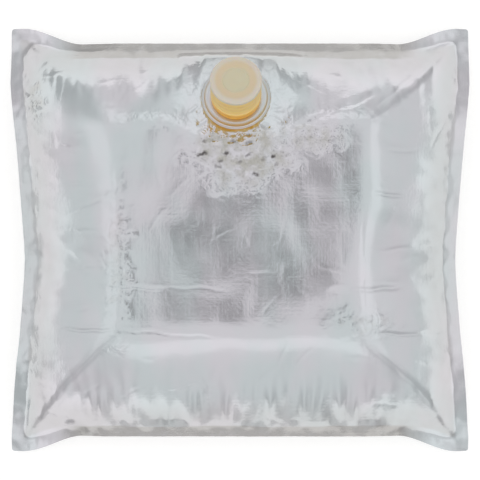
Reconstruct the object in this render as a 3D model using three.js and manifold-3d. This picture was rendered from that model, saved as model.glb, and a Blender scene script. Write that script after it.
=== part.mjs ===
// A filled bag-in-box pouch, lying on its back: two metallised film panels heat-sealed round
// their edges over the liquid, a moulded spout welded under the top film, and a push-on cap.
// Millimetres. +Z is up, X runs along the bag's width and +Y points to the end with the spout.
// The origin is on the floor under the middle of the bag.
import * as THREE from "three";
import { mergeVertices } from "three/addons/utils/BufferGeometryUtils.js";
import Module from "manifold-3d";

// Filled bag, over the ears at its four corners
const bagWidth = 356;
const bagLength = 329;
const fillHeight = 81.5;
const crownRise = 3;

// Heat seal round the four sides
const sealWidth = 10;
const sealThickness = 0.5;
const seamHeight = 31;
const cornerDroop = 17;
const sideSealTilt = THREE.MathUtils.degToRad(18);
const endSealTilt = THREE.MathUtils.degToRad(40);
const earSealTilt = THREE.MathUtils.degToRad(12);

// How far the filled bag draws its edges in between the corners
const sideWaist = 10.5;
const waistReach = 0.82;
const waistRounding = 0.07;
const waistY = -17;
const sideDraw = 1.8;
const sideDrawFull = 0.45;
const sideDrawNone = 0.85;
const endDraw = 10.8;
const earStart = 0.72;
const earEnd = 1;

// The slopes between the seam and the flat top that the carton has pressed into the bag
const sideSlopeRun = 68.5;
const spoutEndSlopeRun = 58.5;
const plainEndSlopeRun = 80.5;
const sideBulge = 1.35;
const endBulge = 1.45;
const creaseRounding = 0.1;
const undersideRun = 46;
const undersideBulge = 1.9;

// Gathers that the seam puts into the film beside it
const endGatherHeight = 2.2;
const sideGatherHeight = 1.1;
const gatherReach = 26;
const endGatherPitch = 41;
const sideGatherPitch = 57;

// Spout, turned about its own axis: radii and heights above the film
const spoutX = -3;
const spoutInset = 58.3;
const spoutTilt = THREE.MathUtils.degToRad(19);
const boreRadius = 12.7;
const neckWall = 2.5;
const neckHeight = 29.5;
const collarStand = 2;
const collarThickness = 1.8;
const collarHeights = [4.2, 10.8];
const beadStand = 1.1;
const beadThickness = 2.4;
const beadDrop = 4.5;
const flangeRadius = 28;
const flangeThickness = 1.3;
const filmOverFlange = 0.6;
const weldPadMargin = 5;
const weldPadBlend = 20;
const weldPadEdgeHold = 6;

// Cap, pushed over the spout
const capWall = 1.05;
const capTopThickness = 1.8;
const capEdgeRadius = 1.3;
const capRimStand = 0.5;
const capRimHeight = 3.6;
const skirtLift = 1.6;
const skirtRibHeight = 1.8;
const skirtRibStand = 0.25;
const skirtRibPitch = 5.4;
const skirtRibCount = 4;
const topRecessRadius = 9.4;
const topRecessDepth = 0.7;
const topStepWidth = 0.6;
const plugWall = 1.4;
const plugLength = 6;

// Running gap between pieces that lie against each other
const clearance = 0.3;

// Fineness of the surfaces
const widthCells = 46;
const lengthCells = 42;
const sealCells = 1;
const turnSegments = 40;
const edgeArcSteps = 4;

const neckRadius = boreRadius + neckWall;
const collarRadius = neckRadius + collarStand;
const weldPadRadius = flangeRadius + weldPadMargin;
const spoutY = bagLength / 2 - spoutInset;

const wasm = await Module();
wasm.setup();

// A closed geometry as a solid that can be cut
function solidOf(geometry) {
  const bare = geometry.clone();
  bare.deleteAttribute("normal");
  bare.deleteAttribute("uv");
  const merged = mergeVertices(bare, 1e-4);
  return new wasm.Manifold(
    new wasm.Mesh({
      numProp: 3,
      vertProperties: new Float32Array(merged.attributes.position.array),
      triVerts: new Uint32Array(merged.index.array),
    }),
  );
}

function geometryOf(solid) {
  const mesh = solid.getMesh();
  const geometry = new THREE.BufferGeometry();
  geometry.setAttribute("position", new THREE.BufferAttribute(mesh.vertProperties, 3));
  geometry.setIndex(new THREE.BufferAttribute(mesh.triVerts, 1));
  geometry.computeVertexNormals();
  return geometry;
}

// A profile of [radius, height] points turned about the spout's axis, which is +Z here
function turned(points) {
  const profile = points.map(([radius, height]) => new THREE.Vector2(radius, height));
  profile.push(profile[0].clone());
  return new THREE.LatheGeometry(profile, turnSegments).rotateX(Math.PI / 2);
}

const smoothstep = THREE.MathUtils.smoothstep;

// The smaller of a and b, with the corner between them rounded over the width k
function softMin(a, b, k) {
  const mix = THREE.MathUtils.clamp(0.5 + (b - a) / (2 * k), 0, 1);
  return THREE.MathUtils.lerp(b, a, mix) - k * mix * (1 - mix);
}

// How far an edge is drawn in: 1 at the waist, 0 at the corners
function waistShare(t) {
  const fromWaist = t - (2 * waistY) / bagLength;
  const rounded = Math.hypot(fromWaist, waistRounding) - waistRounding;
  return Math.max(0, 1 - rounded / waistReach);
}

// 1 along the straight middle of an end, 0 at the ears
function straightShare(s) {
  return 1 - smoothstep(Math.abs(s), earStart, earEnd);
}

// Half width of the bag at the seam, for t from -1 at the plain end to 1 at the spout end
function seamHalfWidth(t) {
  const drawn = 1 - smoothstep(Math.abs(t), sideDrawFull, sideDrawNone);
  return bagWidth / 2 - sealWidth * Math.cos(sideSealTilt) - sideWaist * waistShare(t) - sideDraw * drawn;
}

function endTilt(s) {
  return THREE.MathUtils.lerp(earSealTilt, endSealTilt, straightShare(s));
}

// Half length of the bag at the seam, for s from -1 to 1 across the width
function seamHalfLength(s) {
  return bagLength / 2 - sealWidth * Math.cos(earSealTilt) - endDraw * straightShare(s);
}

function seamZ(s, t) {
  const corner = smoothstep(Math.abs(s), 0.55, 1) * smoothstep(Math.abs(t), 0.55, 1);
  return seamHeight - cornerDroop * corner;
}

// How full the bag is at a point: 0 at the seam, 1 on the flat top
function topShare(x, y, s, t) {
  const sideRoom = (seamHalfWidth(t) * (1 - Math.abs(s))) / sideSlopeRun;
  const endRun = t > 0 ? spoutEndSlopeRun : plainEndSlopeRun;
  const endRoom = (seamHalfLength(s) * (1 - Math.abs(t))) / endRun;
  const side = 1 - (1 - softMin(sideRoom, 1, creaseRounding)) ** sideBulge;
  const end = 1 - (1 - softMin(endRoom, 1, creaseRounding)) ** endBulge;
  return Math.max(0, softMin(side, end, creaseRounding));
}

function undersideShare(s, t) {
  const sideRoom = (seamHalfWidth(t) * (1 - Math.abs(s))) / undersideRun;
  const endRoom = (seamHalfLength(s) * (1 - Math.abs(t))) / undersideRun;
  const room = softMin(sideRoom, endRoom, creaseRounding);
  return 1 - (1 - THREE.MathUtils.clamp(room, 0, 1)) ** undersideBulge;
}

// Ripples beside the seam, dying out over gatherReach and at the seam itself
function gathers(x, y, s, t) {
  const fromEnd = seamHalfLength(s) * (1 - Math.abs(t));
  const fromSide = seamHalfWidth(t) * (1 - Math.abs(s));
  const fade = (room) => (room / gatherReach) * Math.exp((1 - (room / gatherReach) ** 2) / 2);
  const wave = (along, pitch, phase) =>
    0.6 * Math.sin((2 * Math.PI * along) / pitch + phase) +
    0.4 * Math.sin((2 * Math.PI * along) / (pitch * 0.62) + 2.3 * phase);
  const ends = endGatherHeight * fade(fromEnd) * wave(x, endGatherPitch, t > 0 ? 0.4 : 1.9);
  const sides = sideGatherHeight * fade(fromSide) * wave(y, sideGatherPitch, s > 0 ? 1.1 : 2.6);
  return ends * smoothstep(fromSide, 0, 40) + sides * smoothstep(fromEnd, 0, 40);
}

function filmHeight(x, y, s, t) {
  const share = topShare(x, y, s, t);
  const crown = crownRise * (1 - s * s) * (1 - t * t);
  const seam = seamZ(s, t);
  return seam + (fillHeight - seam) * share + crown * share + gathers(x, y, s, t);
}

// The welded flange holds the film flat and tilted round the spout. The inner edge of that
// pad runs level into the flat top, and its outer edge reaches down the end slope.
const padInnerY = spoutY - weldPadRadius * Math.cos(spoutTilt);
const padInnerZ = filmHeight(spoutX, padInnerY, 0, padInnerY / seamHalfLength(0));
const spoutZ = padInnerZ - weldPadRadius * Math.sin(spoutTilt);

function weldPadHeight(y) {
  return spoutZ - (y - spoutY) * Math.tan(spoutTilt);
}

function topPoint(s, t) {
  const x = s * seamHalfWidth(t);
  const y = t * seamHalfLength(s);
  const away = Math.hypot(x - spoutX, (y - spoutY) / Math.cos(spoutTilt));
  const pad = 1 - smoothstep(away, weldPadRadius, weldPadRadius + weldPadBlend);
  const edgeHold = smoothstep(seamHalfLength(s) - Math.abs(y), 0, weldPadEdgeHold);
  const free = filmHeight(x, y, s, t);
  const z = THREE.MathUtils.lerp(free, weldPadHeight(y), pad * (away < weldPadRadius ? 1 : edgeHold));
  return new THREE.Vector3(x, y, z);
}

function undersidePoint(s, t) {
  const seam = seamZ(s, t);
  return new THREE.Vector3(
    s * seamHalfWidth(t),
    t * seamHalfLength(s),
    seam * (1 - undersideShare(s, t)),
  );
}

// Splits a grid coordinate from -1 to 1 into a share of the filled bag and one of the seal
function gridShare(c, cells) {
  const filled = 1 - (2 * sealCells) / cells;
  const inside = Math.min(1, Math.abs(c) / filled);
  const dense = 0.55 * inside + 0.45 * Math.sin((Math.PI / 2) * inside);
  const seal = Math.max(0, (Math.abs(c) - filled) / (1 - filled));
  return { filled: Math.sign(c) * dense, seal: Math.sign(c) * seal };
}

// A box's grid of points, drawn out into the bag: its top and bottom faces become the two
// films, and its thin rim the cut edge of the seal.
function makeBag() {
  const geometry = new THREE.BoxGeometry(2, 2, 2, widthCells, lengthCells, 1);
  const position = geometry.attributes.position;
  for (let i = 0; i < position.count; i++) {
    const across = gridShare(position.getX(i), widthCells);
    const along = gridShare(position.getY(i), lengthCells);
    const s = across.filled;
    const t = along.filled;
    const isTop = position.getZ(i) > 0;
    const point = isTop ? topPoint(s, t) : undersidePoint(s, t);
    const tiltAtEnd = endTilt(s);
    const out = sealWidth * Math.abs(along.seal);
    const outSide = sealWidth * Math.abs(across.seal);
    point.x += Math.sign(s) * outSide * Math.cos(sideSealTilt);
    point.y += Math.sign(t) * out * Math.cos(tiltAtEnd);
    point.z -= outSide * Math.sin(sideSealTilt) + out * Math.sin(tiltAtEnd);
    const onSeam = Math.abs(s) > 0.9999 || Math.abs(t) > 0.9999;
    if (onSeam) point.z += ((isTop ? 1 : -1) * sealThickness) / 2;
    position.setXYZ(i, point.x, point.y, point.z);
  }
  return geometry;
}

// Puts a piece that was turned about +Z onto the spout's axis
function onSpoutAxis(object) {
  object.position.set(spoutX, spoutY, spoutZ);
  object.rotation.x = -spoutTilt;
  return object;
}

// Room in the bag for the flange and the neck, under the film that is welded over the flange
function makeSpoutRoom() {
  const under = filmOverFlange + flangeThickness + 2 * clearance;
  const above = 4;
  const holder = onSpoutAxis(new THREE.Object3D());
  holder.updateMatrix();
  const flangeRoom = turned([
    [0, -under],
    [flangeRadius + clearance, -under],
    [flangeRadius + clearance, -filmOverFlange],
    [neckRadius + clearance, -filmOverFlange],
    [neckRadius + clearance, above],
    [0, above],
  ]);
  return flangeRoom.applyMatrix4(holder.matrix);
}

function makeSpout() {
  const flangeTop = -filmOverFlange - clearance;
  const flangeFoot = flangeTop - flangeThickness;
  const beadRadius = neckRadius + beadStand;
  const beadTop = neckHeight - beadDrop;
  const outside = [
    [boreRadius, flangeFoot],
    [flangeRadius, flangeFoot],
    [flangeRadius, flangeTop],
    [neckRadius, flangeTop],
  ];
  for (const height of collarHeights) {
    outside.push(
      [neckRadius, height],
      [collarRadius, height],
      [collarRadius, height + collarThickness],
      [neckRadius, height + collarThickness],
    );
  }
  outside.push(
    [neckRadius, beadTop - beadThickness],
    [beadRadius, beadTop - beadThickness / 2],
    [beadRadius, beadTop],
    [neckRadius, beadTop + beadStand],
    [neckRadius, neckHeight - 1],
    [neckRadius - 1, neckHeight],
    [boreRadius, neckHeight],
  );
  return turned(outside);
}

function makeCap() {
  const skirtInside = collarRadius + clearance;
  const skirtRadius = skirtInside + capWall;
  const rimRadius = skirtRadius + capRimStand;
  const ceiling = neckHeight + clearance;
  const top = ceiling + capTopThickness;
  const plugRadius = boreRadius - clearance;
  const plugFoot = ceiling - plugLength;
  const profile = [
    [skirtInside, skirtLift],
    [skirtRadius, skirtLift],
  ];
  for (let rib = 0; rib < skirtRibCount; rib++) {
    const foot = skirtLift + skirtRibPitch * (rib + 1);
    profile.push(
      [skirtRadius, foot],
      [skirtRadius + skirtRibStand, foot + skirtRibHeight / 3],
      [skirtRadius + skirtRibStand, foot + (2 * skirtRibHeight) / 3],
      [skirtRadius, foot + skirtRibHeight],
    );
  }
  profile.push([skirtRadius, top - capRimHeight], [rimRadius, top - capRimHeight + capRimStand]);
  for (let step = 0; step <= edgeArcSteps; step++) {
    const angle = (Math.PI / 2) * (step / edgeArcSteps);
    profile.push([
      rimRadius - capEdgeRadius * (1 - Math.cos(angle)),
      top - capEdgeRadius * (1 - Math.sin(angle)),
    ]);
  }
  profile.push(
    [topRecessRadius + topStepWidth, top],
    [topRecessRadius, top - topRecessDepth],
    [0, top - topRecessDepth],
    [0, ceiling],
    [plugRadius - plugWall, ceiling],
    [plugRadius - plugWall, plugFoot],
    [plugRadius - plugWall / 2, plugFoot],
    [plugRadius, plugFoot + plugWall / 2],
    [plugRadius, ceiling],
    [skirtInside, ceiling],
  );
  return turned(profile);
}

function named(name, geometry, colour, roughness, metalness) {
  const material = new THREE.MeshStandardMaterial({ color: colour, roughness, metalness });
  const mesh = new THREE.Mesh(geometry, material);
  mesh.name = name;
  return mesh;
}

const pouch = new THREE.Group();
const bag = geometryOf(solidOf(makeBag()).subtract(solidOf(makeSpoutRoom())));
pouch.add(named("bag", bag, 0xc4c6ca, 0.3, 0.9));
pouch.add(onSpoutAxis(named("spout", makeSpout(), 0xd9a441, 0.35, 0)));
pouch.add(onSpoutAxis(named("cap", makeCap(), 0xe0a848, 0.35, 0)));

export default pouch;
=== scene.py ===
# A filled bag-in-box pouch of silver metallised film, lying on its back on a pale floor, with its
# moulded amber spout and push-on cap, seen from straight above. Metres, +Z up, the spout at +Y.
import math

import bmesh
import bpy
import numpy as np
from mathutils import Matrix, Vector


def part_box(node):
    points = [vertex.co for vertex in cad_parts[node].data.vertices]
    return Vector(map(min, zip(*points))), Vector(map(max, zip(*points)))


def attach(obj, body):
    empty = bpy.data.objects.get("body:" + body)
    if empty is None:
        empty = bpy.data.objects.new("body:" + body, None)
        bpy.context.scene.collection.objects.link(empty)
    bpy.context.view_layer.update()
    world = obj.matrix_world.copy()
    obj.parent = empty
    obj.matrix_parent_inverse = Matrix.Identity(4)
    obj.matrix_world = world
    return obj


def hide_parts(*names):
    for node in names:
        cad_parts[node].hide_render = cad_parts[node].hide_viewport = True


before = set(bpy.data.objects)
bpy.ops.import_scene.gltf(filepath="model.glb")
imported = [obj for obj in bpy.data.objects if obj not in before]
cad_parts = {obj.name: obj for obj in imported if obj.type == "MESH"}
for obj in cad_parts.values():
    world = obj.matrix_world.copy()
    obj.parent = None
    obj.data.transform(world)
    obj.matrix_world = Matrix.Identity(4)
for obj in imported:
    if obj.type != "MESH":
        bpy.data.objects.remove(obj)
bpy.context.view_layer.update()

bag_low, bag_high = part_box("bag")
scene = bpy.context.scene
MM = 0.001


# Camera. It looks straight down at the middle of the bag, from far enough off that the sides
# hardly lean. The bag's corners lie 457 of the photograph's 480 pixels apart.
camera_height = 1.35
corner_height = 12 * MM
sensor_width = 36.0
photo_pixels = 480
bag_pixels = 457

camera_data = bpy.data.cameras.new("camera")
camera_data.sensor_width = sensor_width
bag_width = bag_high.x - bag_low.x
camera_data.lens = sensor_width * bag_pixels / photo_pixels * (camera_height - corner_height) / bag_width
camera = bpy.data.objects.new("camera", camera_data)
camera.location = (0, 0, camera_height)
scene.collection.objects.link(camera)
scene.camera = camera
scene.view_settings.view_transform = "Standard"


# Light. A pale room gives most of it: its ceiling is bright apart from a dim patch straight
# overhead, where the camera hangs, and it dims down its walls and into its four corners. Soft
# boxes stand on its four sides. Each room level is a direction's height and its brightness.
room_levels = [(-1.0, 0.60), (0.0, 0.77), (0.12, 0.81), (0.40, 0.85), (0.70, 0.86), (1.0, 0.86)]
overhead_level = 0.04
overhead_reach = (0.0, 0.14)
corner_level = 0.72
corner_reach = (0.04, 0.45)
box_height = 1.5
right_box = {"reach": 1.3, "long": 2.2, "wide": 1.0, "watts": 1.0}
left_box = {"reach": 1.3, "long": 2.2, "wide": 1.0, "watts": 0.7}
end_box = {"reach": 1.5, "long": 1.2, "wide": 0.8, "watts": 0.5}


def soft_box(name, box, bearing):
    """A long area lamp that stands off on a bearing, in degrees from +X, and faces the bag."""
    lamp = bpy.data.lights.new(name, "AREA")
    lamp.shape = "RECTANGLE"
    lamp.size = box["wide"]
    lamp.size_y = box["long"]
    lamp.energy = box["watts"]
    holder = bpy.data.objects.new(name, lamp)
    turn = math.radians(bearing)
    lean = math.atan2(box["reach"], box_height)
    facing = Matrix.Rotation(turn, 3, "Z") @ Matrix.Rotation(lean, 3, "Y")
    holder.rotation_euler = facing.to_euler()
    holder.location = (box["reach"] * math.cos(turn), box["reach"] * math.sin(turn), box_height)
    scene.collection.objects.link(holder)


for place, box, bearing in (
    ("right", right_box, 0),
    ("left", left_box, 180),
    ("spout_end", end_box, 90),
    ("plain_end", end_box, 270),
):
    soft_box("soft_box_" + place, box, bearing)


def wire(tree, node_type, links=(), **values):
    """A node with its inputs set by name and joined to other nodes' outputs."""
    node = tree.nodes.new(node_type)
    for key, value in values.items():
        setattr(node, key, value)
    for socket, source in links:
        if isinstance(source, bpy.types.NodeSocket):
            tree.links.new(source, node.inputs[socket])
        else:
            node.inputs[socket].default_value = source
    return node


def calculated(tree, operation, *values):
    """The result of a Math node that takes numbers or other nodes' outputs."""
    return wire(tree, "ShaderNodeMath", enumerate(values), operation=operation).outputs[0]


def ranged(tree, value, start, end, low=0.0, high=1.0, interpolation="LINEAR"):
    """A value's place between start and end, as a number between low and high."""
    node = wire(tree, "ShaderNodeMapRange", [
        ("Value", value), ("From Min", start), ("From Max", end), ("To Min", low), ("To Max", high),
    ], interpolation_type=interpolation)
    return node.outputs[0]


def level_length(tree, x, y):
    """The length of the level part of a vector."""
    level = wire(tree, "ShaderNodeCombineXYZ", [(0, x), (1, y)])
    length = wire(tree, "ShaderNodeVectorMath", [(0, level.outputs[0])], operation="LENGTH")
    return length.outputs["Value"]


room = bpy.data.worlds.new("pale_room")
room.use_nodes = True
scene.world = room
tree = room.node_tree
looking = wire(tree, "ShaderNodeTexCoord").outputs["Generated"]
look_x, look_y, look_z = wire(tree, "ShaderNodeSeparateXYZ", [(0, looking)]).outputs
walls = wire(tree, "ShaderNodeValToRGB", [("Fac", ranged(tree, look_z, -1.0, 1.0))])
walls.color_ramp.interpolation = "B_SPLINE"
stops = walls.color_ramp.elements
for number, (rise, brightness) in enumerate(room_levels):
    stop = stops[number] if number < 2 else stops.new(1.0)
    stop.position = (rise + 1) / 2
    stop.color = (brightness, brightness, brightness, 1)
overhead = ranged(tree, level_length(tree, look_x, look_y), *overhead_reach,
                  low=overhead_level, interpolation="SMOOTHSTEP")
skew = calculated(tree, "ABSOLUTE", calculated(tree, "MULTIPLY", look_x, look_y))
corners = ranged(tree, skew, *corner_reach, low=1.0, high=corner_level, interpolation="SMOOTHSTEP")
under_ceiling = calculated(tree, "MULTIPLY", walls.outputs["Color"], overhead)
room_light = tree.nodes["Background"]
room_light.inputs["Color"].default_value = (1, 1, 1, 1)
tree.links.new(calculated(tree, "MULTIPLY", under_ceiling, corners), room_light.inputs["Strength"])


# Floor. A plain white sheet of paper under the bag. It shows white, and keeps the bag's shadow.
floor_reach = 30.0
floor_drop = 0.3 * MM
floor_colour = (0.64, 0.635, 0.625, 1)
floor_roughness = 0.9
floor_lift = 0.56

floor_mesh = bmesh.new()
bmesh.ops.create_grid(floor_mesh, x_segments=1, y_segments=1, size=floor_reach)
bmesh.ops.translate(floor_mesh, vec=(0, 0, -floor_drop), verts=floor_mesh.verts)
floor_data = bpy.data.meshes.new("floor")
floor_mesh.to_mesh(floor_data)
floor_mesh.free()
floor = bpy.data.objects.new("floor", floor_data)
scene.collection.objects.link(floor)

paper = bpy.data.materials.new("floor_paper")
paper.use_nodes = True
tree = paper.node_tree
paper_shader = tree.nodes["Principled BSDF"]
paper_shader.inputs["Base Color"].default_value = floor_colour
paper_shader.inputs["Roughness"].default_value = floor_roughness
paper_shader.inputs["Emission Color"].default_value = (1, 1, 1, 1)
paths = wire(tree, "ShaderNodeLightPath").outputs
mirrored = calculated(tree, "MAXIMUM", paths["Is Glossy Ray"], paths["Is Transmission Ray"])
seen = calculated(tree, "MAXIMUM", paths["Is Camera Ray"], mirrored)
lift = calculated(tree, "MULTIPLY", seen, floor_lift)
tree.links.new(lift, paper_shader.inputs["Emission Strength"])
floor_data.materials.append(paper)


# Front film panel. Metallised film, sealed to the back panel along a 10 mm strip on all four
# sides and welded over the spout's flange. The carton has pressed its top flat, the seals gather
# the film beside them, and handling has left creases and a crumpled patch under the spout.
fill_height = 81.5 * MM
crown_rise = 3 * MM
seal_width = 10 * MM
ply_offset = 0.25 * MM
seam_height = 31 * MM
corner_droop = 17 * MM
corner_droop_start = 0.55
side_seal_tilt = math.radians(18)
end_seal_tilt = math.radians(40)
ear_seal_tilt = math.radians(12)
side_waist = 10.5 * MM
waist_reach = 0.82
waist_rounding = 0.07
waist_y = -17 * MM
side_draw = 1.8 * MM
side_draw_full = 0.45
side_draw_none = 0.85
end_draw = 10.8 * MM
ear_start = 0.72
ear_end = 1.0
side_slope_run = 68.5 * MM
spout_end_slope_run = 58.5 * MM
plain_end_slope_run = 80.5 * MM
side_bulge = 1.35
end_bulge = 1.45
crease_rounding = 0.1
soft_corner_rounding = 0.25
soft_corner_across = (0.2, 0.7)
soft_corner_along = (0.1, 0.6)
flat_wander = 0.05
flat_wander_pitch = 60 * MM

# Spout's place under this film, and the pad of film that its flange holds up
spout_x = -3 * MM
spout_inset = 58.3 * MM
spout_tilt = math.radians(19)
weld_pad_radius = 33 * MM
weld_pad_blend = 38 * MM
inner_blend_share = 0.5
inner_blend_reach = (-32 * MM, 4 * MM)
weld_pad_edge_hold = 6 * MM
weld_ring_radius = 25.6 * MM

half_width = (bag_high.x - bag_low.x) / 2
half_length = (bag_high.y - bag_low.y) / 2
spout_y = half_length - spout_inset


def smoothstep(value, start, end):
    """0 up to the start, 1 from the end on, and eased between them."""
    share = np.clip((value - start) / (end - start), 0, 1)
    return share * share * (3 - 2 * share)


def soft_min(a, b, k):
    """The smaller of a and b, with the corner between them rounded over the width k."""
    mix = np.clip(0.5 + (b - a) / (2 * k), 0, 1)
    return b + (a - b) * mix - k * mix * (1 - mix)


def straight_share(s):
    """1 along the straight middle of an end, 0 at the ears."""
    return 1 - smoothstep(np.abs(s), ear_start, ear_end)


def seam_half_width(t):
    """How far the side seams stand from the middle, drawn in most at the waist."""
    from_waist = t - waist_y / half_length
    waist = np.maximum(0, 1 - (np.hypot(from_waist, waist_rounding) - waist_rounding) / waist_reach)
    drawn = 1 - smoothstep(np.abs(t), side_draw_full, side_draw_none)
    return half_width - seal_width * math.cos(side_seal_tilt) - side_waist * waist - side_draw * drawn


def seam_half_length(s):
    """How far the end seams stand from the middle, drawn in between the ears."""
    return half_length - seal_width * math.cos(ear_seal_tilt) - end_draw * straight_share(s)


def seam_z(s, t):
    """The seam's height, which droops at the bag's corners."""
    droop = smoothstep(np.abs(s), corner_droop_start, 1) * smoothstep(np.abs(t), corner_droop_start, 1)
    return seam_height - corner_droop * droop


def top_share(s, t):
    """How full the bag is at a point: 0 at the seam, 1 on the flat top."""
    end_run = np.where(t > 0, spout_end_slope_run, plain_end_slope_run)
    side_room = seam_half_width(t) * (1 - np.abs(s)) / side_slope_run
    end_room = seam_half_length(s) * (1 - np.abs(t)) / end_run
    side = 1 - (1 - soft_min(side_room, 1, crease_rounding)) ** side_bulge
    end = 1 - (1 - soft_min(end_room, 1, crease_rounding)) ** end_bulge
    soft_corner = smoothstep(-s, *soft_corner_across) * smoothstep(t, *soft_corner_along)
    rounding = crease_rounding + soft_corner_rounding * soft_corner
    return np.maximum(0, soft_min(side, end, rounding))


def free_top_height(s, t):
    """The front film's height, if no spout held it."""
    share = top_share(s, t)
    seam = seam_z(s, t)
    crown = crown_rise * (1 - s * s) * (1 - t * t)
    return seam + (fill_height - seam) * share + crown * share


pad_inner_y = spout_y - weld_pad_radius * math.cos(spout_tilt)
middle = np.array(0.0)
pad_inner_z = float(free_top_height(middle, pad_inner_y / seam_half_length(middle)))
spout_z = pad_inner_z - weld_pad_radius * math.sin(spout_tilt)
spout_foot = Vector((spout_x, spout_y, spout_z))


def from_spout_axis(x, y):
    """Distance of a point of the weld pad from the spout's axis."""
    return np.hypot(x - spout_x, (y - spout_y) / math.cos(spout_tilt))


def front_surface(s, t):
    """The front film's points for s and t from -1 to 1 between the seams."""
    x = s * seam_half_width(t)
    y = t * seam_half_length(s)
    away = from_spout_axis(x, y)
    outer_share = smoothstep(y - spout_y, *inner_blend_reach)
    blend = weld_pad_blend * (inner_blend_share + (1 - inner_blend_share) * outer_share)
    pad = 1 - smoothstep(away, weld_pad_radius, weld_pad_radius + blend)
    edge_hold = smoothstep(seam_half_length(s) - np.abs(y), 0, weld_pad_edge_hold)
    pad_height = spout_z - (y - spout_y) * math.tan(spout_tilt)
    wander = flat_wander * noise_field(x, y, flat_wander_pitch, 44)
    free = free_top_height(s + wander * (1 - s * s), t + wander * (1 - t * t))
    z = free + (pad_height - free) * pad * np.where(away < weld_pad_radius, 1, edge_hold)
    return np.stack([x, y, z], axis=-1)


def with_seal(surface, across, along, seal_share):
    """Points of a panel on a grid from -1 to 1, whose outer seal_share on each side is the seal."""
    def split(line, share):
        filled = 1 - share
        inside = np.minimum(1, np.abs(line) / filled)
        return np.sign(line) * inside, np.maximum(0, (np.abs(line) - filled) / share)

    s, seal_across = split(across, seal_share[0])
    t, seal_along = split(along, seal_share[1])
    points = surface(s, t)
    end_tilt = ear_seal_tilt + (end_seal_tilt - ear_seal_tilt) * straight_share(s)
    points[:, 0] += np.sign(s) * seal_width * seal_across * math.cos(side_seal_tilt)
    points[:, 1] += np.sign(t) * seal_width * seal_along * np.cos(end_tilt)
    points[:, 2] -= seal_width * seal_across * math.sin(side_seal_tilt)
    points[:, 2] -= seal_width * seal_along * np.sin(end_tilt)
    return points, s, t


def noise_field(x, y, pitch, seed):
    """Smooth noise from about -1 to 1 over the plane, with lumps about one pitch apart."""
    size = 128
    turns = np.random.default_rng(seed).uniform(0, 2 * math.pi, (size, size))
    u = x / pitch
    v = y / pitch
    column = np.floor(u).astype(int)
    row = np.floor(v).astype(int)
    a = u - column
    b = v - row

    def corner(right, up):
        turn = turns[(column + right) % size, (row + up) % size]
        return np.cos(turn) * (a - right) + np.sin(turn) * (b - up)

    ease_a = a * a * a * (a * (a * 6 - 15) + 10)
    ease_b = b * b * b * (b * (b * 6 - 15) + 10)
    low = corner(0, 0) + (corner(1, 0) - corner(0, 0)) * ease_a
    high = corner(0, 1) + (corner(1, 1) - corner(0, 1)) * ease_a
    return 1.5 * (low + (high - low) * ease_b)


def facets(x, y, pitch, seed, sets=5):
    """Height from 0 to 1 of film that is crumpled along several sets of wandering creases."""
    chance = np.random.default_rng(seed)
    total = np.zeros_like(x)
    for number in range(sets):
        turn = chance.uniform(0, math.pi)
        size = pitch * chance.uniform(0.7, 1.7)
        wander = 0.45 * pitch * noise_field(x, y, 2.2 * pitch, seed + number)
        along = (x * math.cos(turn) + y * math.sin(turn) + wander) / size + chance.uniform()
        total += 2 * np.abs(along - np.floor(along) - 0.5) * size / pitch
    return total / sets


def patch(x, y, centre, reach, ragged, seed):
    """1 in the middle of an oval patch with a ragged rim, 0 outside it."""
    away = np.hypot((x - centre[0]) / reach[0], (y - centre[1]) / reach[1])
    return 1 - smoothstep(away + ragged * noise_field(x, y, 0.6 * min(reach), seed), 0.25, 1.0)


fold_wander_pitch = 14 * MM
fold_sharpness = 1.6


def fold(x, y, start, end, width, wander, seed):
    """A crease between two points: 1 on its wandering line, 0 at its width to either side."""
    run = math.hypot(end[0] - start[0], end[1] - start[1])
    ahead = ((end[0] - start[0]) / run, (end[1] - start[1]) / run)
    along = (x - start[0]) * ahead[0] + (y - start[1]) * ahead[1]
    aside = (y - start[1]) * ahead[0] - (x - start[0]) * ahead[1]
    aside = aside + wander * noise_field(along, np.full_like(along, seed * 0.37), fold_wander_pitch, seed)
    taper = smoothstep(along, 0, 0.25 * run) * (1 - smoothstep(along, 0.75 * run, run))
    return taper * np.maximum(0, 1 - np.abs(aside) / width) ** fold_sharpness


def onward(start, reach, bearing):
    """The point that lies a reach away from the start on a bearing."""
    return (start[0] + reach * math.cos(bearing), start[1] + reach * math.sin(bearing))


def metres(pair):
    """A pair of millimetres in metres."""
    return (pair[0] * MM, pair[1] * MM)


def mesh_points(mesh):
    """The points of a mesh, one to a row."""
    flat = np.empty(len(mesh.vertices) * 3, np.float32)
    mesh.vertices.foreach_get("co", flat)
    return flat.reshape(-1, 3).astype(float)


def set_points(mesh, points):
    """Moves the points of a mesh."""
    mesh.vertices.foreach_set("co", points.astype(np.float32).ravel())
    mesh.update()


def vertex_normals(mesh):
    """The normals at the points of a mesh, one to a row."""
    flat = np.empty(len(mesh.vertices) * 3, np.float32)
    mesh.vertex_normals.foreach_get("vector", flat)
    return flat.reshape(-1, 3).astype(float)


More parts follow.
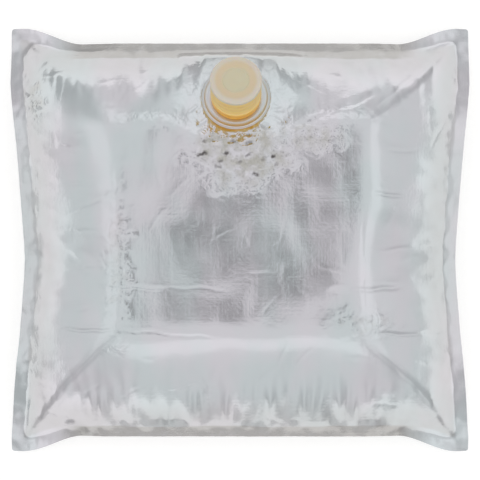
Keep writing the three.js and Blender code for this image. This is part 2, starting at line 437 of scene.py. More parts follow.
def buckled(mesh, points, from_end, from_side, hold, film):
    """Lets a film that is cut larger than its place buckle into it, and gives its new points."""
    x = points[:, 0]
    y = points[:, 1]
    as_cut = points.copy()
    as_cut[:, 0] *= film["slack"] + film["end_slack"] * np.exp(-from_end / film["end_slack_reach"])
    as_cut[:, 1] *= film["slack"] + film["side_slack"] * np.exp(-from_side / film["side_slack_reach"])
    end_waves = noise_field(x, 0.3 * y, film["end_wave_pitch"], film["wave_seed"])
    end_waves = end_waves * np.exp(-from_end / film["wave_reach"])
    side_waves = noise_field(0.3 * x, y, film["side_wave_pitch"], film["wave_seed"] + 1)
    side_waves = side_waves * np.exp(-from_side / film["wave_reach"])
    start = points.copy()
    start[:, 2] += np.where(hold < 1, film["wave_height"] * (end_waves + side_waves), 0)

    trial = bpy.data.objects.new("film_trial", mesh.copy())
    scene.collection.objects.link(trial)
    set_points(trial.data, start)
    trial.shape_key_add(name="in_place")
    cut_key = trial.shape_key_add(name="as_cut")
    cut_key.data.foreach_set("co", as_cut.astype(np.float32).ravel())
    held = trial.vertex_groups.new(name="held")
    hold_steps = np.round(hold, 2)
    for step in np.unique(hold_steps):
        held.add(np.flatnonzero(hold_steps == step).tolist(), float(step), "REPLACE")
    cloth = trial.modifiers.new("film", "CLOTH")
    settings = cloth.settings
    settings.rest_shape_key = cut_key
    settings.vertex_group_mass = "held"
    settings.quality = film["quality"]
    settings.mass = film["mass"]
    settings.tension_stiffness = film["stretch"]
    settings.compression_stiffness = film["stretch"]
    settings.shear_stiffness = film["shear"]
    settings.bending_stiffness = film["bend"]
    settings.pin_stiffness = film["hold"]
    settings.use_pressure = True
    settings.uniform_pressure_force = film["pressure"]
    settings.effector_weights.gravity = 0
    cloth.collision_settings.use_collision = False
    cloth.point_cache.frame_start = 1
    cloth.point_cache.frame_end = film["frames"]
    for moment in range(1, film["frames"] + 1):
        scene.frame_set(moment)
    shown = trial.evaluated_get(bpy.context.evaluated_depsgraph_get())
    result = mesh_points(shown.to_mesh())
    shown.to_mesh_clear()
    scene.frame_set(1)
    bpy.data.objects.remove(trial)
    travel = result - start
    reach = np.linalg.norm(travel, axis=1, keepdims=True)
    most = film["most"]
    return start + travel * (most * np.tanh(reach / most) / np.maximum(reach, 1e-9))


seal_ripple_height = 1.1 * MM
seal_ripple_reach = 10 * MM


def seal_ripple(x, y, from_edge):
    """Waves that the whole seal carries, in both panels alike."""
    wave = 0.7 * noise_field(x, y, 26 * MM, 41) + 0.3 * noise_field(x, y, 11 * MM, 42)
    return seal_ripple_height * wave * np.exp(-np.maximum(from_edge, 0) / seal_ripple_reach)


def laid_out(name, surface, cells, seal_cells):
    """A panel's coarse mesh, its points in place, and how far they lie inside the seams."""
    grid = bmesh.new()
    bmesh.ops.create_grid(grid, x_segments=cells[0], y_segments=cells[1], size=1)
    mesh = bpy.data.meshes.new(name)
    grid.to_mesh(mesh)
    grid.free()
    flat = mesh_points(mesh)
    seal_share = [2 * seal_cells / count for count in cells]
    points, s, t = with_seal(surface, flat[:, 0], flat[:, 1], seal_share)
    from_end = seam_half_length(s) * (1 - np.abs(t))
    from_side = seam_half_width(t) * (1 - np.abs(s))
    points[:, 2] += seal_ripple(points[:, 0], points[:, 1], np.minimum(from_end, from_side))
    return mesh, points, from_end, from_side


def subdivided(name, mesh):
    """The mesh with every cell cut in four and smoothed, as plain mesh data."""
    coarse = bpy.data.objects.new(name + "_coarse", mesh)
    scene.collection.objects.link(coarse)
    finer = coarse.modifiers.new("finer", "SUBSURF")
    finer.levels = 1
    finer.render_levels = 1
    shown = coarse.evaluated_get(bpy.context.evaluated_depsgraph_get())
    fine = bpy.data.meshes.new_from_object(shown)
    bpy.data.objects.remove(coarse)
    bpy.data.meshes.remove(mesh)
    fine.name = name
    fine.polygons.foreach_set("use_smooth", [True] * len(fine.polygons))
    return fine


def inside_seams(x, y):
    """How far points of a made panel lie inside the seams of its ends and of its sides."""
    from_end = seam_half_length(np.clip(x / half_width, -1, 1)) - np.abs(y)
    from_side = seam_half_width(np.clip(y / half_length, -1, 1)) - np.abs(x)
    return from_end, from_side


# How dark the seals are, and how far that reaches: the seals' own duller grey, with painted shade
# that stands for the shaded floor which the film mirrors beside the bag. An end's is dark between
# its ears and a little way in, a side's is dark half-way along, and the taut film beside them is
# darker in part, which is painted shade alone
end_seal_shade_until = (118 * MM, 150 * MM)
spout_end_shade_in = 4.6 * MM
plain_end_shade_in = 0.6 * MM
side_seal_shade = 0.22
side_seal_shade_loss = 0.2
side_seal_shade_until = (60 * MM, 110 * MM)
taut_shade = 0.42
taut_shade_fade = (6 * MM, 30 * MM)


def seal_and_shade_share(x, y):
    """1 on the end seals, less on the side seals and the taut film by both: their grey and painted shade."""
    from_end, from_side = inside_seams(x, y)
    waver = 1.0 * MM * noise_field(x, y, 30 * MM, 43)
    between_ears = 1 - smoothstep(np.abs(x), *end_seal_shade_until)
    dull_in = np.where(y > 0, spout_end_shade_in, plain_end_shade_in)
    end_seal = between_ears * (1 - smoothstep(from_end + waver - dull_in, 0, 1.2 * MM))
    side_seal = side_seal_shade - side_seal_shade_loss * smoothstep(np.abs(y), *side_seal_shade_until)
    side_seal = side_seal * (1 - smoothstep(from_side + waver, -0.6 * MM, 0.9 * MM))
    taut = np.minimum(from_end, from_side) + 3 * MM * noise_field(x, y, 34 * MM, 45)
    taut = taut_shade * smoothstep(taut, -1 * MM, 1 * MM) * (1 - smoothstep(taut, *taut_shade_fade))
    return np.maximum.reduce([end_seal, side_seal, taut])


def mark(mesh, name, values):
    """Keeps a value for each point of a mesh, for its material to read."""
    mesh.attributes.new(name, "FLOAT", "POINT").data.foreach_set("value", values.astype(np.float32))


# The film's stiffness, how much larger it is cut than its place, most of all beside the seals,
# and the small waves that start its buckles
front_film = {
    "quality": 5, "mass": 0.2, "stretch": 40, "shear": 20, "bend": 0.02,
    "hold": 1.0, "pressure": 0.8, "frames": 18, "most": 6 * MM,
    "slack": 1.004, "end_slack": 0.13, "end_slack_reach": 28 * MM,
    "side_slack": 0.09, "side_slack_reach": 24 * MM,
    "wave_height": 1.2 * MM, "wave_reach": 30 * MM, "wave_seed": 3,
    "end_wave_pitch": 11 * MM, "side_wave_pitch": 13 * MM,
}
front_cells = (156, 144)
front_seal_cells = 3
loose_hold = 0.02
flat_hold = 0.16
flat_hold_reach = (35 * MM, 75 * MM)
weld_hold = 0.4
weld_hold_reach = (38 * MM, 66 * MM)

front_mesh, front_points, from_end, from_side = laid_out(
    "front_panel", front_surface, front_cells, front_seal_cells)
from_edge = np.minimum(from_end, from_side)
from_axis = from_spout_axis(front_points[:, 0], front_points[:, 1])
hold = loose_hold + (flat_hold - loose_hold) * smoothstep(from_edge, *flat_hold_reach)
hold = np.maximum(hold, weld_hold * (1 - smoothstep(from_axis, *weld_hold_reach)))
hold = np.where((from_edge <= 0) | (from_axis < weld_pad_radius), 1.0, hold)
front_points = buckled(front_mesh, front_points, from_end, from_side, hold, front_film)
front_points[:, 2] += ply_offset
set_points(front_mesh, front_points)
front_mesh = subdivided("front_panel", front_mesh)

# Relief that is finer than the buckles, in metres along the film's own normal
front_points = mesh_points(front_mesh)
x = front_points[:, 0]
y = front_points[:, 1]
from_end, from_side = inside_seams(x, y)
from_edge = np.minimum(from_end, from_side)
from_axis = from_spout_axis(x, y)
inside = smoothstep(from_edge, 0, 6 * MM)
off_weld = smoothstep(from_axis, 25.8 * MM, 28.8 * MM)

# Crumples: how strong each is, its middle and its reach in mm, how ragged its rim is, and its seed
crumples = [
    (1.0, (-2, 64), (52, 36), 0.3, 51), (0.75, (48, 76), (40, 17), 0.3, 52),
    (0.45, (92, -62), (40, 17), 0.3, 53), (0.45, (-91, -20), (16, 82), 0.4, 54),
    (0.6, (-158, 108), (14, 24), 0.3, 55), (0.5, (-168, -10), (16, 170), 0.4, 57),
    (0.25, (-66, 90), (44, 11), 0.3, 58), (0.35, (74, 93), (48, 13), 0.3, 59),
]
weld_crumple = 0.3
weld_crumple_reach = (36 * MM, 58 * MM)
smooth_by_end = (4 * MM, 9 * MM)

# Height and pitch in mm, and seed: of the crumples' facets, of faint ones that are drawn out along
# the bag everywhere, and of the film's swells
crumple_facets = [(0.8, 7, 61), (0.55, 3.6, 62)]
faint_facets = (0.30, 17, 63)
swells = [(1.0, 66, 64), (0.3, 24, 65)]

round_weld = smoothstep(from_axis + 9 * MM * noise_field(x, y, 16 * MM, 56), *weld_crumple_reach)
crumpled = weld_crumple * (1 - round_weld)
for strength, centre, reach, rim, seed in crumples:
    spread = patch(x, y, metres(centre), metres(reach), rim, seed)
    crumpled = np.maximum(crumpled, strength * spread)
crumpled *= smoothstep(from_end, *smooth_by_end)
relief = np.zeros_like(x)
for height, pitch, seed in crumple_facets:
    relief += height * MM * crumpled * (facets(x, y, pitch * MM, seed) - 0.5)
height, pitch, seed = faint_facets
relief += height * MM * (facets(x, 0.5 * y, pitch * MM, seed) - 0.5)
for height, pitch, seed in swells:
    relief += height * MM * noise_field(x, y, pitch * MM, seed)

# Creases left by handling: where they start and end, how deep and how wide they are
creases = [
    ((-138, -68), (-88, -66), 0.6, 1.8), ((-96, -66), (-16, -73), 0.45, 1.7),
    ((95, -69), (160, -72), 0.55, 1.9), ((-112, -35), (-50, -36), 0.4, 2.2),
    ((-58, -35), (-8, -37), 0.12, 1.6), ((62, -38), (126, -35), 0.7, 3.2),
    ((96, 34), (124, 33), 0.6, 2.6), ((-94, 66), (-95, -72), 0.35, 3.0),
    ((-86, 40), (-88, -66), 0.3, 2.4), ((91, 30), (92, -60), 0.45, 2.0),
    ((-92, -70), (-152, -130), 0.28, 2.0), ((95, -76), (148, -128), 0.28, 2.0),
    ((98, 96), (148, 140), 0.4, 3.0), ((-98, 92), (-140, 132), 0.12, 3.0),
    ((-40, 62), (-10, 52), 0.7, 2.4), ((8, 50), (34, 58), 0.6, 2.4),
    ((30, 78), (108, 112), 0.7, 4.0), ((-104, 42), (-166, 40), 0.25, 2.0),
    ((-100, 8), (-164, 4), 0.25, 2.0), ((-98, -22), (-166, -20), 0.25, 2.0),
    ((104, 66), (162, 70), 0.2, 2.0), ((100, -8), (164, -4), 0.25, 2.0),
    ((-168, 118), (-146, 96), 1.1, 3.0), ((-166, 92), (-144, 104), 0.9, 2.6),
    ((-160, 150), (-128, 138), 0.9, 3.0), ((162, 128), (174, 122), 0.8, 2.4),
]
crease_wander = 1.6 * MM
lip_share = 0.22
lip_aside = 1.5
lip_width = 1.4
for number, (begin, finish, depth, width) in enumerate(creases):
    begin = metres(begin)
    finish = metres(finish)
    seed = 100 + number
    relief -= depth * MM * fold(x, y, begin, finish, width * MM, crease_wander, seed)
    relief += lip_share * depth * MM * fold(
        x, y - lip_aside * width * MM, begin, finish, lip_width * width * MM, crease_wander, seed)

# Short puckers that run out from the weld on the side of the flat top
pucker_count = 17
pucker_first = -170
pucker_arc = 160
pucker_start = (27 * MM, 26 * MM)
pucker_chance = np.random.default_rng(7)
for number in range(pucker_count):
    share = (number + pucker_chance.uniform(-0.4, 0.4)) / (pucker_count - 1)
    turn = math.radians(pucker_first + pucker_arc * share)
    lean = turn + math.radians(pucker_chance.uniform(-35, 35))
    reach = pucker_chance.uniform(5, 15) * MM
    begin = (spout_x + pucker_start[0] * math.cos(turn), spout_y + pucker_start[1] * math.sin(turn))
    depth = pucker_chance.uniform(0.3, 0.8) * MM
    relief -= depth * fold(x, y, begin, onward(begin, reach, lean), 2.4 * MM, 1.0 * MM, 200 + number)

# Tight little folds in the crumpled film under the spout, dented into it, with the dark in them
# painted into its colour as shade
fleck_count = 15
fleck_middle = (-2 * MM, 63 * MM)
fleck_spread = (33 * MM, 17 * MM)
fleck_depth = 0.6 * MM
golden_turn = math.pi * (3 - math.sqrt(5))
fleck_chance = np.random.default_rng(11)
shaded = np.zeros_like(x)
for number in range(fleck_count):
    around = golden_turn * number + fleck_chance.uniform(-0.5, 0.5)
    out = math.sqrt((number + 0.5) / fleck_count)
    begin = (
        fleck_middle[0] + fleck_spread[0] * out * math.cos(around),
        fleck_middle[1] + fleck_spread[1] * out * math.sin(around),
    )
    reach = fleck_chance.uniform(3.5, 7.5) * MM
    finish = onward(begin, reach, math.radians(fleck_chance.uniform(-30, 60)))
    width = fleck_chance.uniform(1.4, 2.0) * MM
    tight = fold(x, y, begin, finish, width, 0.3 * MM, 300 + number)
    relief -= fleck_depth * tight
    # How dark the painted shade in this fold is
    shaded = np.maximum(shaded, fleck_chance.uniform(0.3, 0.9) * np.sqrt(tight))

# Slight creases from handling, all over the film, fainter where it is pressed flat
pressed_share = 0.7
handling_count = 130
handling_spread = 0.95
handling_chance = np.random.default_rng(19)
slack = 1 - pressed_share * smoothstep(from_edge, 35 * MM, 70 * MM)
for number in range(handling_count):
    begin = (
        handling_chance.uniform(-handling_spread, handling_spread) * half_width,
        handling_chance.uniform(-handling_spread, handling_spread) * half_length,
    )
    reach = handling_chance.uniform(8, 34) * MM
    lean = math.radians(90 * handling_chance.integers(0, 2) + handling_chance.normal(0, 24))
    depth = handling_chance.uniform(0.08, 0.32) * MM
    width = handling_chance.uniform(1.6, 3.2) * MM
    slight = fold(x, y, begin, onward(begin, reach, lean), width, 1.2 * MM, 400 + number)
    relief -= slack * depth * slight

# Gathers beside the seals at both ends and along the sides, none of them in the bag's corners
gather_window = (4 * MM, 36 * MM)
fine_gather = 1.1 * MM
slanting_gather = 1.2 * MM
faceted_gather = 0.5 * MM
fine_side_gather = 0.5 * MM
end_gather = np.exp(-((from_end - 12 * MM) / (20 * MM)) ** 2) * smoothstep(from_side, *gather_window)
side_gather = np.exp(-((from_side - 10 * MM) / (14 * MM)) ** 2) * smoothstep(from_end, *gather_window)
relief += fine_gather * end_gather * noise_field(x, 0.22 * y, 6.5 * MM, 71)
relief += slanting_gather * end_gather * noise_field(x + 0.4 * y, 0.3 * y, 17 * MM, 75)
relief += faceted_gather * end_gather * (facets(x, 0.3 * y, 9 * MM, 72, sets=3) - 0.5)
relief += fine_side_gather * side_gather * noise_field(0.25 * x, y, 6.5 * MM, 73)

# All this relief stops at the seams and at the weld, and beside the weld no crease is deep
weld_rim = 30 * MM
deepest_by_weld = -0.4 * MM
relief *= inside * off_weld
relief = np.where(from_axis < weld_rim, np.maximum(relief, deepest_by_weld), relief)

# The heat seals are cockled, most of all at the left
cockle = 0.14
left_cockle = 0.3
cockled = cockle + left_cockle * smoothstep(-x, 150 * MM, 165 * MM)
relief += (1 - inside) * cockled * MM * noise_field(x, 0.6 * y, 4.5 * MM, 74)

front_points += vertex_normals(front_mesh) * relief[:, None]
set_points(front_mesh, front_points)
crumpled_on_seal = 0.4
crumpled *= off_weld * (crumpled_on_seal + (1 - crumpled_on_seal) * inside)
# Masks for the film's material: where it paints shade into the crumples and the tight folds, and where it
# paints the seals' grey and the shade beside them
mark(front_mesh, "crumpled", crumpled)
mark(front_mesh, "shaded", shaded * off_weld)
mark(front_mesh, "seal_and_shade", seal_and_shade_share(x, y))

# The round hole that the weld ring closes
hole_rim_reach = 4 * MM
trim = bmesh.new()
trim.from_mesh(front_mesh)
gone = [
    face for face in trim.faces
    if from_spout_axis(*face.calc_center_median().xy) < weld_ring_radius
]
bmesh.ops.delete(trim, geom=gone, context="FACES")
spout_turn = Matrix.Rotation(-spout_tilt, 3, "X")
for vert in trim.verts:
    if vert.is_boundary and from_spout_axis(vert.co.x, vert.co.y) < weld_ring_radius + hole_rim_reach:
        local = spout_turn.inverted() @ (vert.co - spout_foot)
        radius = math.hypot(local.x, local.y)
        local.x *= weld_ring_radius / radius
        local.y *= weld_ring_radius / radius
        local.z = 0
        vert.co = spout_foot + spout_turn @ local
trim.to_mesh(front_mesh)
trim.free()

front_panel = bpy.data.objects.new("front_panel", front_mesh)
scene.collection.objects.link(front_panel)

silver_light = (0.68, 0.665, 0.705, 1)
silver_cool = (0.625, 0.67, 0.69, 1)
# Darker silvers that paint shade into the film: in its crumples, in its tight folds, and on and beside its
# seals, whose own grey is darker too
silver_crumple_shade = (0.50, 0.49, 0.46, 1)
silver_seal_and_shade = (0.49, 0.48, 0.47, 1)
silver_shaded = (0.11, 0.10, 0.10, 1)
film_roughness = (0.15, 0.24)
streak_height = 0.03 * MM
grain_height = 0.06 * MM
crackle_ridges = ((95.0, 2.2 * MM), (190.0, 1.3 * MM), (420.0, 0.5 * MM))


def mixed(tree, share, colour, other):
    """A colour that gives way to the other as the share goes from 0 to 1."""
    return wire(tree, "ShaderNodeMix", [(0, share), (6, colour), (7, other)],
                data_type="RGBA", clamp_factor=True).outputs[2]


def film_creasing_group():
    """The finish of the film: its silvers, with shade painted into them, its gloss and its finest creases."""
    tree = bpy.data.node_groups.new("film_creasing", "ShaderNodeTree")
    for name, side, kind in (
        ("Vector", "INPUT", "NodeSocketVector"),
        ("Crumpled", "INPUT", "NodeSocketFloat"),
        ("Shaded", "INPUT", "NodeSocketFloat"),
        ("Seal_and_shade", "INPUT", "NodeSocketFloat"),
        ("Streaks", "INPUT", "NodeSocketFloat"),
        ("Color", "OUTPUT", "NodeSocketColor"),
        ("Roughness", "OUTPUT", "NodeSocketFloat"),
        ("Height", "OUTPUT", "NodeSocketFloat"),
    ):
        tree.interface.new_socket(name, in_out=side, socket_type=kind)
    inputs = tree.nodes.new("NodeGroupInput").outputs
    outputs = tree.nodes.new("NodeGroupOutput").inputs

    def noise(scale, detail, stretch=(1, 1, 1)):
        mapping = wire(tree, "ShaderNodeMapping", [("Vector", inputs["Vector"]), ("Scale", stretch)])
        return wire(tree, "ShaderNodeTexNoise", [
            ("Vector", mapping.outputs[0]), ("Scale", scale), ("Detail", detail)]).outputs["Fac"]

    def scaled(value, factor, shift=0.0):
        return calculated(tree, "MULTIPLY_ADD", value, factor, shift)

    # Two silvers in broad drifts, and darker ones where a mask and its own noise let them show:
    # painted shade in the crumples and the tight folds, and the seals' own grey with painted shade
    # on and beside them
    drift = scaled(noise(14.0, 3.0, (1.6, 0.8, 1)), 5.0, -2.0)
    colour = mixed(tree, drift, silver_light, silver_cool)
    for mask, grain, silver in (
        (ranged(tree, inputs["Crumpled"], 0.35, 0.9), scaled(noise(130.0, 4.0), 3.6, -1.35), silver_crumple_shade),
        (inputs["Seal_and_shade"], scaled(noise(110.0, 3.0), 0.8, 0.6), silver_seal_and_shade),
        (inputs["Shaded"], scaled(noise(320.0, 2.0), 5.0, -1.2), silver_shaded),
    ):
        colour = mixed(tree, calculated(tree, "MULTIPLY", mask, grain), colour, silver)
    tree.links.new(colour, outputs["Color"])

    low, high = film_roughness
    gloss = scaled(noise(34.0, 4.0), 2.0 * (high - low), low - 0.5 * (high - low))
    tree.links.new(gloss, outputs["Roughness"])

    across = scaled(noise(1.0, 3.0, (18, 520, 60)), streak_height)
    along = scaled(noise(1.0, 3.0, (520, 16, 60)), streak_height)
    streaks = calculated(tree, "MULTIPLY", calculated(tree, "ADD", across, along), inputs["Streaks"])
    crackle = 0.0
    for scale, depth in crackle_ridges:
        ridge = calculated(tree, "ABSOLUTE", scaled(noise(scale, 0.0), 1.0, -0.5))
        crackle = calculated(tree, "ADD", scaled(ridge, depth), crackle)
    crackle = calculated(tree, "MULTIPLY", crackle, inputs["Crumpled"])
    height = calculated(tree, "ADD", streaks, crackle)
    height = calculated(tree, "ADD", height, scaled(noise(420.0, 4.0), grain_height))
    tree.links.new(height, outputs["Height"])
    return tree


film_creasing = film_creasing_group()


def film_material(name, streaks, dulled=0.0):
    """Metallised film, with its finest creases as strong as streaks says, dulled where welded."""
    material = bpy.data.materials.new(name)
    material.use_nodes = True
    tree = material.node_tree
    shader = tree.nodes["Principled BSDF"]
    shader.inputs["Metallic"].default_value = 1.0
    place = wire(tree, "ShaderNodeTexCoord")
    finish = wire(tree, "ShaderNodeGroup", node_tree=film_creasing)
    tree.links.new(place.outputs["Object"], finish.inputs["Vector"])
    # The masks by which shade is painted into the film's colour, with the seals' own grey
    for mask in ("crumpled", "shaded", "seal_and_shade"):
        marked = wire(tree, "ShaderNodeAttribute", attribute_name=mask)
        tree.links.new(marked.outputs["Fac"], finish.inputs[mask.capitalize()])
    finish.inputs["Streaks"].default_value = streaks
    bump = wire(tree, "ShaderNodeBump", [("Height", finish.outputs["Height"]), ("Distance", 1.0)])
    gloss = calculated(tree, "ADD", finish.outputs["Roughness"], dulled)
    tree.links.new(finish.outputs["Color"], shader.inputs["Base Color"])
    tree.links.new(gloss, shader.inputs["Roughness"])
    tree.links.new(bump.outputs[0], shader.inputs["Normal"])
    return material


metallised_film = film_material("metallised_film", 1.0)
front_mesh.materials.append(metallised_film)
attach(front_panel, "filled_bag")
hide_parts("bag")


# Back film panel. The same film, pressed flat on the floor by the liquid, and drawn up round the
# edge to the seals, where it gathers like the front.
underside_run = 46 * MM
underside_bulge = 1.9
back_film = dict(
    front_film, pressure=-0.8, frames=12, most=4 * MM, slack=1.002,
    end_slack=0.07, end_slack_reach=18 * MM, side_slack=0.06, side_slack_reach=18 * MM,
    wave_height=1.0 * MM, wave_reach=20 * MM, wave_seed=5,
    end_wave_pitch=12 * MM, side_wave_pitch=12 * MM,
)
back_cells = (90, 84)
back_seal_cells = 2
back_loose_hold = 0.03
floor_hold = 0.5
floor_hold_reach = (20 * MM, 40 * MM)


def back_surface(s, t):
    """The back film's points for s and t from -1 to 1 between the seams."""
    side_room = seam_half_width(t) * (1 - np.abs(s)) / underside_run
    end_room = seam_half_length(s) * (1 - np.abs(t)) / underside_run
    room = np.clip(soft_min(side_room, end_room, crease_rounding), 0, 1)
    z = seam_z(s, t) * (1 - room) ** underside_bulge
    return np.stack([s * seam_half_width(t), t * seam_half_length(s), z], axis=-1)


back_mesh, back_points, from_end, from_side = laid_out(
    "back_panel", back_surface, back_cells, back_seal_cells)
from_edge = np.minimum(from_end, from_side)
hold = back_loose_hold + floor_hold * smoothstep(from_edge, *floor_hold_reach)
hold = np.where(from_edge <= 0, 1.0, hold)
back_points = buckled(back_mesh, back_points, from_end, from_side, hold, back_film)
back_points[:, 2] = np.maximum(back_points[:, 2] - ply_offset, 0)
set_points(back_mesh, back_points)
back_mesh = subdivided("back_panel", back_mesh)
back_mesh.flip_normals()
back_points = mesh_points(back_mesh)
# The seals' own grey and the painted shade beside them, as on the front
mark(back_mesh, "seal_and_shade", seal_and_shade_share(back_points[:, 0], back_points[:, 1]))
back_panel = bpy.data.objects.new("back_panel", back_mesh)
scene.collection.objects.link(back_panel)
back_mesh.materials.append(metallised_film)
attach(back_panel, "filled_bag")
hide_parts("bag")


# Weld ring. The front film where it is welded over the spout's flange: a raised disc with the
# rings that the welding tool presses into it, and a hole for the neck.
turn_steps = 144
same_place = 1e-6
sharp_angle = math.radians(35)
bevel_steps = 2
weld_ring_profile = [
    (25.6, 0.0), (25.5, 0.14), (25.3, 0.4), (25.1, 0.48), (24.9, 0.4), (24.7, 0.34), (24.4, 0.5),
    (24.1, 0.7), (23.8, 0.72), (23.5, 0.56), (23.0, 0.42), (22.3, 0.36), (21.5, 0.38), (20.9, 0.5),
    (20.4, 0.64), (19.9, 0.66), (18.0, 0.62), (15.7, 0.62), (15.5, 0.4), (15.5, 0.0),
]


def turned(name, profile, closed, bevel=0.0):
    """A profile of (radius, height) pairs in mm, turned about the spout's axis."""
    part = bmesh.new()
    verts = [part.verts.new((radius * MM, 0, height * MM)) for radius, height in profile]
    pairs = list(zip(verts, verts[1:]))
    if closed:
        pairs.append((verts[-1], verts[0]))
    edges = [part.edges.new(pair) for pair in pairs]
    bmesh.ops.spin(part, geom=verts + edges, cent=(0, 0, 0), axis=(0, 0, 1), angle=2 * math.pi,
                   steps=turn_steps, use_merge=True, use_duplicate=False)
    bmesh.ops.remove_doubles(part, verts=part.verts, dist=same_place)
    bmesh.ops.recalc_face_normals(part, faces=part.faces)
    if bevel:
        sharp = [
            edge for edge in part.edges
            if len(edge.link_faces) == 2 and edge.calc_face_angle() > sharp_angle
        ]
        bmesh.ops.bevel(part, geom=sharp, offset=bevel * MM, segments=bevel_steps, profile=0.5,
                        affect="EDGES", material=-1, clamp_overlap=True)
    bmesh.ops.transform(part, verts=part.verts,
                        matrix=Matrix.Translation(spout_foot) @ spout_turn.to_4x4())
    mesh = bpy.data.meshes.new(name)
    part.to_mesh(mesh)
    part.free()
    mesh.polygons.foreach_set("use_smooth", [True] * len(mesh.polygons))
    made = bpy.data.objects.new(name, mesh)
    scene.collection.objects.link(made)
    return made


weld_ring = turned("weld_ring", weld_ring_profile, closed=False)
if weld_ring.data.polygons[0].normal.dot(spout_turn @ Vector((0, 0, 1))) < 0:
    weld_ring.data.flip_normals()
weld_ring.data.materials.append(film_material("welded_film", 0.2, dulled=0.2))
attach(weld_ring, "filled_bag")


# Spout. One moulding of translucent amber plastic: a flange under the film, a neck, two collars
# that the filling machine grips, and a bead that the cap snaps over. Radii and heights in mm.
bore_radius = 12.7
neck_radius = 15.2
collar_radius = 17.2
neck_height = 29.5
flange_radius = 28.0
flange_low = -2.2
flange_top = -0.9
collar_feet = (4.2, 10.8)
collar_height = 1.8
bead_radius = 16.3
bead_top = neck_height - 4.5
spout_profile = [
    (bore_radius, flange_low), (flange_radius, flange_low),
    (flange_radius, flange_top), (neck_radius, flange_top),
]
for foot in collar_feet:
    spout_profile += [
        (neck_radius, foot), (collar_radius, foot),
        (collar_radius, foot + collar_height), (neck_radius, foot + collar_height),
    ]
spout_profile += [
    (neck_radius, bead_top - 2.4), (bead_radius, bead_top - 1.2), (bead_radius, bead_top),
    (neck_radius, bead_top + 1.1), (neck_radius, neck_height - 1), (neck_radius - 1, neck_height),
    (bore_radius + 0.4, neck_height), (bore_radius, neck_height - 0.4),
]
amber_deep = (0.78, 0.40, 0.03, 1)
amber_light = (0.96, 0.69, 0.26, 1)
# Colours of painted light and shade on the cap: shade in a band at each rib, and on top a disc shaded where
# the bore shows through, a ring over the spout's wall, and a highlight on the rim
amber_rib_shade = (0.93, 0.60, 0.15, 1)
amber_rim_highlight = (0.72, 0.66, 0.57, 1)
amber_bore_shade = (0.69, 0.63, 0.45, 1)
amber_ring = (0.74, 0.61, 0.42, 1)
# A painted glow in the amber's own colour, low down on the mouldings, that stands for light coming through
# the plastic
painted_amber_glow = 0.3
painted_glow_from = 15 * MM
painted_glow_full = 1 * MM
amber_roughness = 0.32
amber_scatter = 0.4
amber_scatter_colours = (1.0, 0.6, 0.25)
amber_scatter_reach = 3 * MM
amber_grain = 900.0
amber_grain_height = 0.02 * MM


def amber_material(name, colour_steps):
    """Translucent amber plastic whose colour steps, by height and radius, follow its wall, with a painted
    glow low down.
    """
    material = bpy.data.materials.new(name)
    material.use_nodes = True
    tree = material.node_tree
    shader = tree.nodes["Principled BSDF"]
    shader.inputs["Roughness"].default_value = amber_roughness
    shader.inputs["Subsurface Weight"].default_value = amber_scatter
    shader.inputs["Subsurface Radius"].default_value = amber_scatter_colours
    shader.inputs["Subsurface Scale"].default_value = amber_scatter_reach
    shader.inputs["Emission Strength"].default_value = painted_amber_glow
    place = wire(tree, "ShaderNodeTexCoord")
    on_axis = wire(tree, "ShaderNodeMapping", [
        ("Vector", place.outputs["Object"]), ("Location", tuple(spout_foot)),
        ("Rotation", (-spout_tilt, 0, 0))], vector_type="TEXTURE").outputs[0]
    across, along, height = wire(tree, "ShaderNodeSeparateXYZ", [(0, on_axis)]).outputs
    colour = colour_steps(tree, level_length(tree, across, along), height)
    tree.links.new(colour, shader.inputs["Base Color"])
    # The painted glow, full near the foot and gone 15 mm up
    low = ranged(tree, height, painted_glow_from, painted_glow_full)
    tree.links.new(mixed(tree, low, (0, 0, 0, 1), colour), shader.inputs["Emission Color"])
    grain = wire(tree, "ShaderNodeTexNoise", [
        ("Vector", on_axis), ("Scale", amber_grain), ("Detail", 3.0)]).outputs["Fac"]
    depth = calculated(tree, "MULTIPLY", grain, amber_grain_height)
    bump = wire(tree, "ShaderNodeBump", [("Height", depth), ("Distance", 1.0)])
    tree.links.new(bump.outputs[0], shader.inputs["Normal"])
    return material


def colour_ramp(tree, value, low, high, stops):
    """A smooth ramp of colours; each stop gives a value between low and high and its colour."""
    ramp = wire(tree, "ShaderNodeValToRGB", [("Fac", ranged(tree, value, low, high))])
    ramp.color_ramp.interpolation = "EASE"
    for number, (at, colour) in enumerate(stops):
        position = (at - low) / (high - low)
        if number < 2:
            element = ramp.color_ramp.elements[number]
            element.position = position
        else:
            element = ramp.color_ramp.elements.new(position)
        element.color = colour
    return ramp.outputs["Color"]


def spout_colour(tree, radius, height):
    """Deep down by the flange, and lighter up the neck."""
    return colour_ramp(tree, height, -3 * MM, 30 * MM, [
        (-3 * MM, amber_deep), (30 * MM, amber_light), (8 * MM, amber_light)])


spout = turned("spout_moulding", spout_profile, closed=True, bevel=0.25)
spout.data.materials.append(amber_material("spout_plastic", spout_colour))
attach(spout, "filled_bag")
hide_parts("spout")


# Cap. A push-on cap of the same amber plastic. Its ribbed skirt hides the neck, a rim stands
# proud at the top, and a plug under the dished top closes the bore. Radii and heights in mm.
skirt_inside = 17.5
skirt_radius = 18.55
skirt_foot = 1.6
rim_radius = 19.05
rim_foot = 28.0
ceiling = 29.8
cap_top = 31.6
rib_pitch = 5.4
rib_stand = 0.25
rib_height = 1.8
rib_count = 4
edge_radius = 1.3
edge_steps = 6
dish = cap_top - 0.18
well = cap_top - 0.7
well_mark = cap_top - 0.62
plug_inside = 11.0
plug_radius = 12.4
plug_foot = 23.8

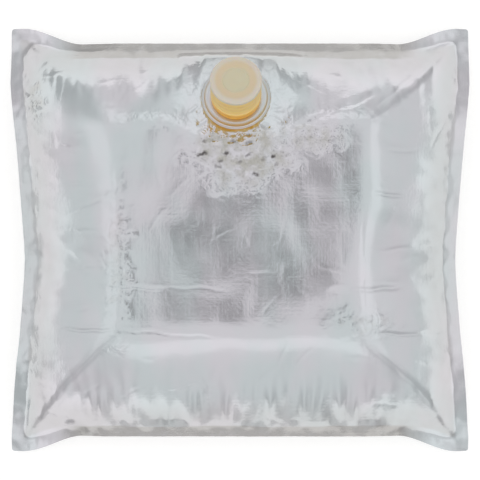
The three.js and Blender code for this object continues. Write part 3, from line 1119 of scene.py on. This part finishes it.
cap_profile = [(skirt_inside, skirt_foot), (skirt_radius, skirt_foot)]
for rib in range(rib_count):
    foot = skirt_foot + rib_pitch * (rib + 1)
    cap_profile += [
        (skirt_radius, foot), (skirt_radius + rib_stand, foot + rib_height / 3),
        (skirt_radius + rib_stand, foot + 2 * rib_height / 3), (skirt_radius, foot + rib_height),
    ]
cap_profile += [(skirt_radius, rim_foot), (rim_radius, rim_foot + 0.5)]
for step in range(edge_steps + 1):
    turn = math.pi / 2 * step / edge_steps
    cap_profile.append((
        rim_radius - edge_radius * (1 - math.cos(turn)),
        cap_top - edge_radius * (1 - math.sin(turn)),
    ))
cap_profile += [
    (14.6, cap_top), (14.2, dish), (10.0, dish), (9.4, well),
    (1.6, well), (1.2, well_mark), (0.0, well_mark), (0.0, ceiling),
    (plug_inside, ceiling), (plug_inside, plug_foot), (11.7, plug_foot), (plug_radius, 24.5),
    (plug_radius, ceiling), (skirt_inside, ceiling),
]


def cap_colour(tree, radius, height):
    """Deep at the skirt's foot, lighter above with painted shade in a band at each rib, and painted light in
    rings on top.
    """
    side = colour_ramp(tree, height, 1 * MM, 31 * MM, [
        (1 * MM, amber_deep), (31 * MM, amber_light), (6.5 * MM, amber_deep),
        (10 * MM, amber_light)])
    # Painted shade in a band at each rib
    band_turn = calculated(tree, "MULTIPLY", height, 2 * math.pi / (rib_pitch * MM))
    banded = ranged(tree, calculated(tree, "SINE", band_turn), -0.2, 1.0)
    above_foot = ranged(tree, height, 7 * MM, 11 * MM)
    skirt = mixed(tree, above_foot, side, mixed(tree, banded, side, amber_rib_shade))
    # On top, rings of painted light that the top catches and lets through, with painted shade where the bore
    # shows through and a painted highlight on the rounded rim
    top = colour_ramp(tree, radius, 0.0, 19.2 * MM, [
        (0.0, amber_bore_shade), (19.2 * MM, amber_rim_highlight), (8.8 * MM, amber_bore_shade),
        (11.6 * MM, amber_ring), (13.6 * MM, amber_ring), (16.8 * MM, amber_rim_highlight)])
    on_top = ranged(tree, height, 27.6 * MM, 28.6 * MM)
    return mixed(tree, on_top, skirt, top)


cap = turned("cap_moulding", cap_profile, closed=False, bevel=0.2)
cap.data.materials.append(amber_material("cap_plastic", cap_colour))
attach(cap, "cap")
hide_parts("cap")
